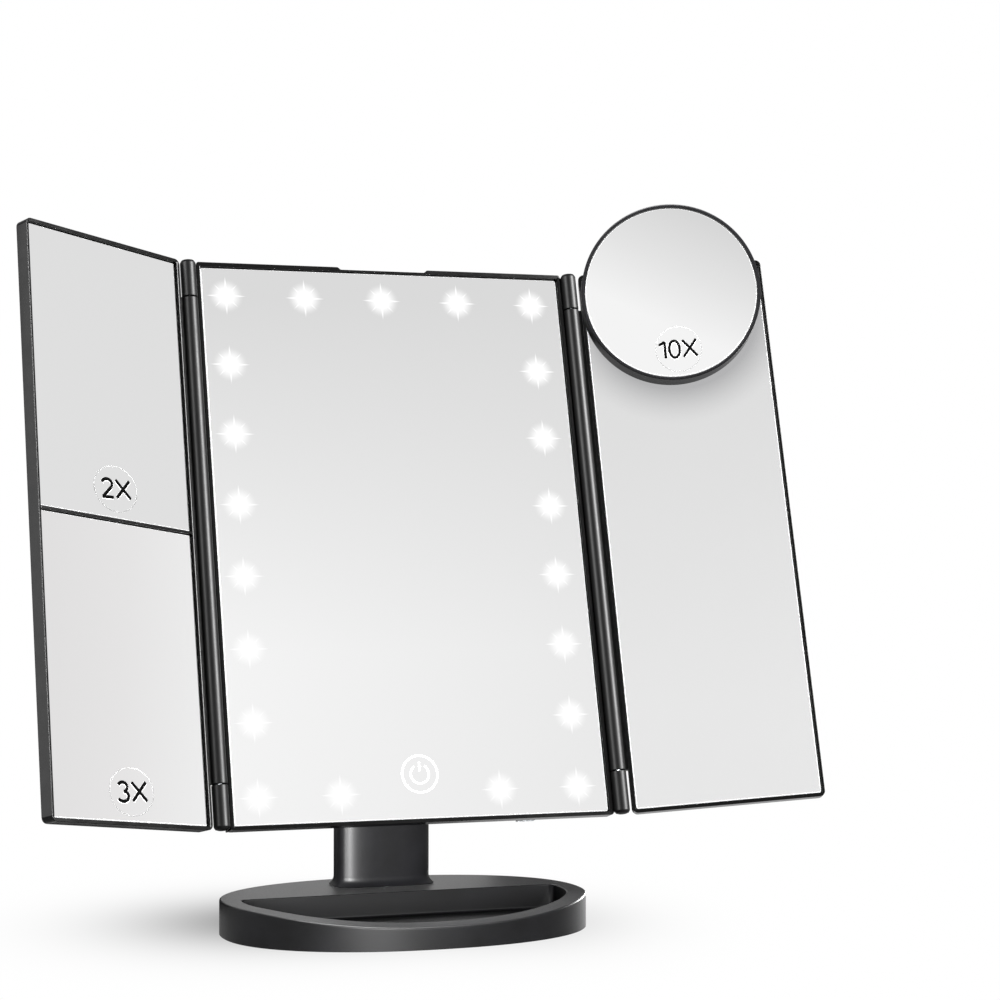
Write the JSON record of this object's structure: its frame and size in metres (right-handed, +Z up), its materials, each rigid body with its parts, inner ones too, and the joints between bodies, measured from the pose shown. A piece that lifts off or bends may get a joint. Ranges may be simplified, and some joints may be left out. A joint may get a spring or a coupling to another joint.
{
  "type": "lighted folding makeup mirror",
  "caption": "Table-top makeup mirror with a lit centre panel, hinged side mirrors, a round stick-on magnifier and an oval tray base.",
  "frame": {"origin": "middle of the underside of the base pad, on the surface that the mirror stands on", "axes": "+Z up; -Y towards the user, the way the mirrors face; +X to the user's right, the side of the round magnifying mirror"},
  "size_m": [0.3307, 0.1268, 0.3073],
  "materials": {
    "gloss_black": "glossy moulded black",
    "satin_charcoal": "satin moulded charcoal",
    "silvered_glass": "silvered float glass with a ground edge",
    "steel": "bright zinc-plated steel",
    "brass": "bright",
    "circuit_green": "solder mask over laminate",
    "strip_white": "white flexible strip with pale light chips",
    "cell_wrap": "shrink-wrapped cells",
    "clear_film": "clear static film",
    "clear_rubber": "clear soft rubber",
    "pad_foam": "matt foam rubber"
  },
  "bodies": {
    "stand": {"base_pad": "pad_foam", "base_cover": "satin_charcoal", "base_weight": "steel", "base_shell": "satin_charcoal", "base_cover_screw_1": "steel", "base_cover_screw_2": "steel", "base_cover_screw_3": "steel", "neck_foot_screw_1": "steel", "neck_foot_screw_2": "steel", "neck_front": "satin_charcoal", "neck_rear": "satin_charcoal", "neck_screw_1": "steel", "neck_screw_2": "steel", "tilt_washer_left": "brass", "tilt_washer_right": "brass"},
    "head": {"front_frame": "gloss_black", "main_mirror": "silvered_glass", "led_strip": "strip_white", "touch_board": "circuit_green", "main_board": "circuit_green", "usb_socket": "steel", "switch_body": "steel", "back_shell": "satin_charcoal", "battery_1": "cell_wrap", "battery_2": "cell_wrap", "battery_3": "cell_wrap", "battery_4": "cell_wrap", "contact_lower_left": "brass", "contact_lower_right": "brass", "contact_upper_left": "brass", "contact_upper_middle": "brass", "contact_upper_right": "brass", "shell_screw_1": "steel", "shell_screw_2": "steel", "shell_screw_3": "steel", "shell_screw_4": "steel", "left_hinge_pin_top": "steel", "left_hinge_pin_bottom": "steel", "right_hinge_pin_top": "steel", "right_hinge_pin_bottom": "steel", "tilt_pin": "steel", "tilt_nut": "steel"},
    "left_wing": {"left_wing_shell": "gloss_black", "left_upper_mirror": "silvered_glass", "left_lower_mirror": "silvered_glass", "upper_label": "clear_film", "lower_label": "clear_film"},
    "right_wing": {"right_wing_shell": "gloss_black", "right_wing_mirror": "silvered_glass"},
    "magnifier": {"suction_cup": "clear_rubber", "spot_housing": "satin_charcoal", "spot_mirror": "silvered_glass", "spot_label": "clear_film"},
    "bay_door": {"battery_door": "satin_charcoal"},
    "power_knob": {"switch_knob": "gloss_black"}
  },
  "joints": [
    {"name": "head_tilt", "type": "hinge", "parent": "stand", "child": "head", "pos_m": [0, 0.0324, 0.122], "axis": [-1, 0, 0], "range_deg": [-15, 75]},
    {"name": "left_wing_fold", "type": "hinge", "parent": "head", "child": "left_wing", "pos_m": [-0.0854, -0.00019, 0.16303], "axis": [0, 0.2588, 0.9659], "range_deg": [-30, 150]},
    {"name": "right_wing_fold", "type": "hinge", "parent": "head", "child": "right_wing", "pos_m": [0.0854, -0.00019, 0.16303], "axis": [0, -0.2588, -0.9659], "range_deg": [-20, 70]},
    {"name": "magnifier_pull", "type": "slide", "parent": "right_wing", "child": "magnifier", "axis": [-0.342, -0.9077, 0.2432], "range_m": [0, 0.03]},
    {"name": "bay_door_slide", "type": "slide", "parent": "head", "child": "bay_door", "axis": [0, 0.2588, 0.9659], "range_m": [0, 0.015]},
    {"name": "power_slide", "type": "slide", "parent": "head", "child": "power_knob", "axis": [1, 0, 0], "range_m": [0, 0.003]}
  ]
}
